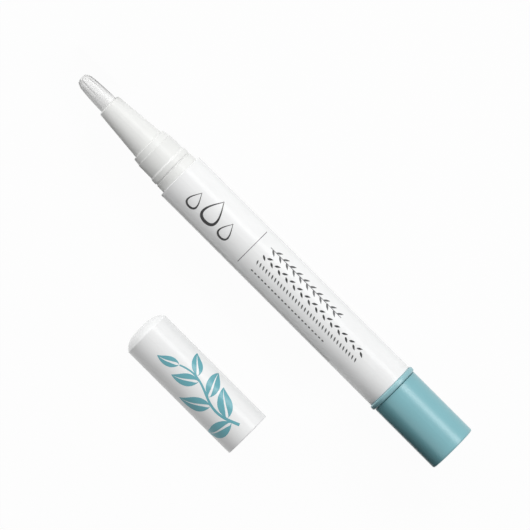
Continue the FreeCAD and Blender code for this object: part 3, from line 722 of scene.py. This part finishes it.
class OILPEN_OT_cap_print(bpy.types.Operator):
    """Prints a leafy sprig on both sides of the cap"""

    bl_idname = "oil_pen.cap_print"
    bl_label = "Cap print"

    def execute(self, context):
        sizes = context.scene.oil_pen_print
        film = InkMesh(CAP_CENTRE, CAP_RADIUS, sizes.ink)
        for turn in (0.0, math.pi):
            stalk = []
            for s in spaced(80):
                along = CAP_STALK_FROM + (CAP_STALK_TO - CAP_STALK_FROM) * s
                bend = CAP_STALK_SWING * math.sin(2 * math.pi * (s - 0.05))
                stalk.append(Vector((along, turn * CAP_RADIUS + bend)))
            sprig(film, stalk, CAP_LEAVES, sizes.stalk)
        teal = context.scene.oil_pen_finish.print_teal
        ink = printed_ink("ink_teal", teal, thin_share=0.03, roughness=0.24)
        add_piece("print_teal", film.vertices, film.faces, ink, "cap")
        return {"FINISHED"}


def add_softbox(name, box, brightness):
    """A rectangular softbox over the pen, leaned towards -Y, then turned about the vertical towards +X."""
    lamp = bpy.data.lights.new(name, "AREA")
    lamp.shape = "RECTANGLE"
    lamp.size = box.along
    lamp.size_y = box.across
    lamp.energy = brightness * math.pi * box.along * box.across
    holder = bpy.data.objects.new(name, lamp)
    bpy.context.scene.collection.objects.link(holder)
    holder.rotation_euler = (math.radians(box.lean), 0, math.radians(box.turn))
    holder.location = PEN_CENTRE + holder.rotation_euler.to_matrix() @ Vector((0, 0, box.distance))
    holder.visible_camera = False


def black_card(name, place, top):
    """A black card that stands along the pen and takes light from it; the camera doesn't see it."""
    y = PEN_CENTRE.y + place.aside
    mesh = bpy.data.meshes.new(name)
    corners = [(place.begin, y, 0), (place.end, y, 0), (place.end, y, top), (place.begin, y, top)]
    mesh.from_pydata(corners, [], [(0, 1, 2, 3)])
    material, tree, shader = start_material(name)
    felt = add_node(tree, "TexNoise", {"Vector": surface_millimetres(tree), "Scale": 2.0})
    dark, light = opaque((0.015, 0.015, 0.015)), opaque((0.03, 0.03, 0.03))
    tone = add_node(tree, "Mix", {0: felt.outputs[0], 6: dark, 7: light}, data_type="RGBA")
    tree.links.new(tone.outputs[2], shader.inputs["Base Color"])
    shader.inputs["Roughness"].default_value = 0.9
    mesh.materials.append(material)
    card = bpy.data.objects.new(name, mesh)
    bpy.context.scene.collection.objects.link(card)
    card.visible_camera = False


def backdrop_rays(tree):
    """A mask of the rays that see the backdrop: from the camera, a reflection or through glass."""
    path = add_node(tree, "LightPath")
    mask = path.outputs["Is Camera Ray"]
    for ray in ("Is Glossy Ray", "Is Transmission Ray"):
        mask = add_node(tree, "Math", {0: mask, 1: path.outputs[ray]}, operation="MAXIMUM").outputs[0]
    return mask


class OILPEN_OT_stage(bpy.types.Operator):
    """Sets the camera, the softboxes, the floor and the room"""

    bl_idname = "oil_pen.stage"
    bl_label = "Stage"

    def execute(self, context):
        stage = context.scene.oil_pen_stage
        context.scene.view_settings.view_transform = "Standard"
        self.add_camera(context.scene, stage)
        self.add_floor(stage)
        self.add_world(context.scene, stage)
        add_softbox("key_softbox", KEY_BOX, stage.key)
        add_softbox("end_softbox", END_BOX, stage.end)
        black_card("knob_flag", KNOB_CARD, stage.knob_flag)
        black_card("barrel_flag", BARREL_CARD, stage.barrel_flag)
        black_card("nozzle_flag", NOZZLE_CARD, stage.nozzle_flag)
        black_card("tuft_flag", TUFT_CARD, stage.tuft_flag)
        return {"FINISHED"}

    def add_camera(self, scene, stage):
        """A long lens straight above the pen."""
        data = bpy.data.cameras.new("photo_camera")
        data.lens = stage.lens
        data.clip_start = 0.05
        data.clip_end = 50
        camera = bpy.data.objects.new("photo_camera", data)
        scene.collection.objects.link(camera)
        distance = stage.view_width * stage.lens / data.sensor_width
        aside = 0.62 * MM
        camera.location = (0, PEN_CENTRE.y + aside, PEN_CENTRE.z + distance)
        camera.rotation_euler = (0, 0, stage.view_turn)
        scene.camera = camera

    def add_floor(self, stage):
        """A large grey floor that is seen nearly white, with a faint shadow."""
        half = 2.0
        corners = [(-half, -half, 0), (half, -half, 0), (half, half, 0), (-half, half, 0)]
        mesh = bpy.data.meshes.new("studio_floor")
        mesh.from_pydata(corners, [], [(0, 1, 2, 3)])
        material, tree, shader = start_material("studio_floor")
        place = surface_millimetres(tree)
        paper = add_node(tree, "TexNoise", {"Vector": place, "Scale": 0.05, "Detail": 3.0})
        light, dark = opaque(stage.floor), opaque(shaded(stage.floor, 0.99))
        tint = add_node(tree, "Mix", {0: paper.outputs[0], 6: light, 7: dark}, data_type="RGBA")
        tree.links.new(tint.outputs[2], shader.inputs["Base Color"])
        shader.inputs["Roughness"].default_value = 0.9
        shader.inputs["Specular IOR Level"].default_value = 0.0
        white = add_node(tree, "Emission", {"Color": (1, 1, 1, 1), "Strength": 1.0})
        share = add_node(tree, "Math", {0: backdrop_rays(tree), 1: stage.floor_white}, operation="MULTIPLY")
        mix = add_node(tree, "MixShader", {0: share.outputs[0], 1: shader.outputs[0], 2: white.outputs[0]})
        tree.links.new(mix.outputs[0], tree.nodes["Material Output"].inputs["Surface"])
        mesh.materials.append(material)
        floor = bpy.data.objects.new("studio_floor", mesh)
        bpy.context.scene.collection.objects.link(floor)

    def add_world(self, scene, stage):
        """A dim room that is seen as plain white."""
        world = bpy.data.worlds.new("studio_room")
        scene.world = world
        world.use_nodes = True
        tree = world.node_tree
        room = tree.nodes["Background"]
        room.inputs["Color"].default_value = (1, 1, 1, 1)
        room.inputs["Strength"].default_value = stage.ambient
        white = add_node(tree, "Background", {"Color": (1, 1, 1, 1), "Strength": 1.0})
        mix = add_node(tree, "MixShader", {0: backdrop_rays(tree), 1: room.outputs[0], 2: white.outputs[0]})
        tree.links.new(mix.outputs[0], tree.nodes["World Output"].inputs["Surface"])


class OILPEN_PT_panel(bpy.types.Panel):
    """Lists what the pen is made of"""

    bl_idname = "OILPEN_PT_panel"
    bl_label = "Nail oil pen"
    bl_space_type = "VIEW_3D"
    bl_region_type = "UI"
    bl_category = "Oil Pen"

    def draw(self, context):
        for group, operators in PANEL_ROWS:
            box = self.layout.box()
            settings = getattr(context.scene, group)
            for name in settings.__annotations__:
                box.prop(settings, name)
            for operator in operators:
                box.operator(operator.bl_idname)


SETTINGS = {
    "oil_pen_finish": OilPenFinish,
    "oil_pen_brush": OilPenBrush,
    "oil_pen_print": OilPenPrint,
    "oil_pen_stage": OilPenStage,
}
PANEL_ROWS = [
    ("oil_pen_finish", [OILPEN_OT_shells, OILPEN_OT_tail, OILPEN_OT_nozzle, OILPEN_OT_inside]),
    ("oil_pen_brush", [OILPEN_OT_brush]),
    ("oil_pen_print", [OILPEN_OT_barrel_print, OILPEN_OT_cap_print]),
    ("oil_pen_stage", [OILPEN_OT_stage]),
]
OPERATORS = [operator for _, operators in PANEL_ROWS for operator in operators]
CLASSES = [*SETTINGS.values(), *OPERATORS, OILPEN_PT_panel]


def register():
    for entry in CLASSES:
        bpy.utils.register_class(entry)
    for name, group in SETTINGS.items():
        setattr(bpy.types.Scene, name, bpy.props.PointerProperty(type=group))


def unregister():
    for name in SETTINGS:
        delattr(bpy.types.Scene, name)
    for entry in reversed(CLASSES):
        bpy.utils.unregister_class(entry)


def main():
    register()
    for operator in OPERATORS:
        name = operator.bl_idname.split(".")[1]
        getattr(bpy.ops.oil_pen, name)()


if __name__ == "__main__":
    main()
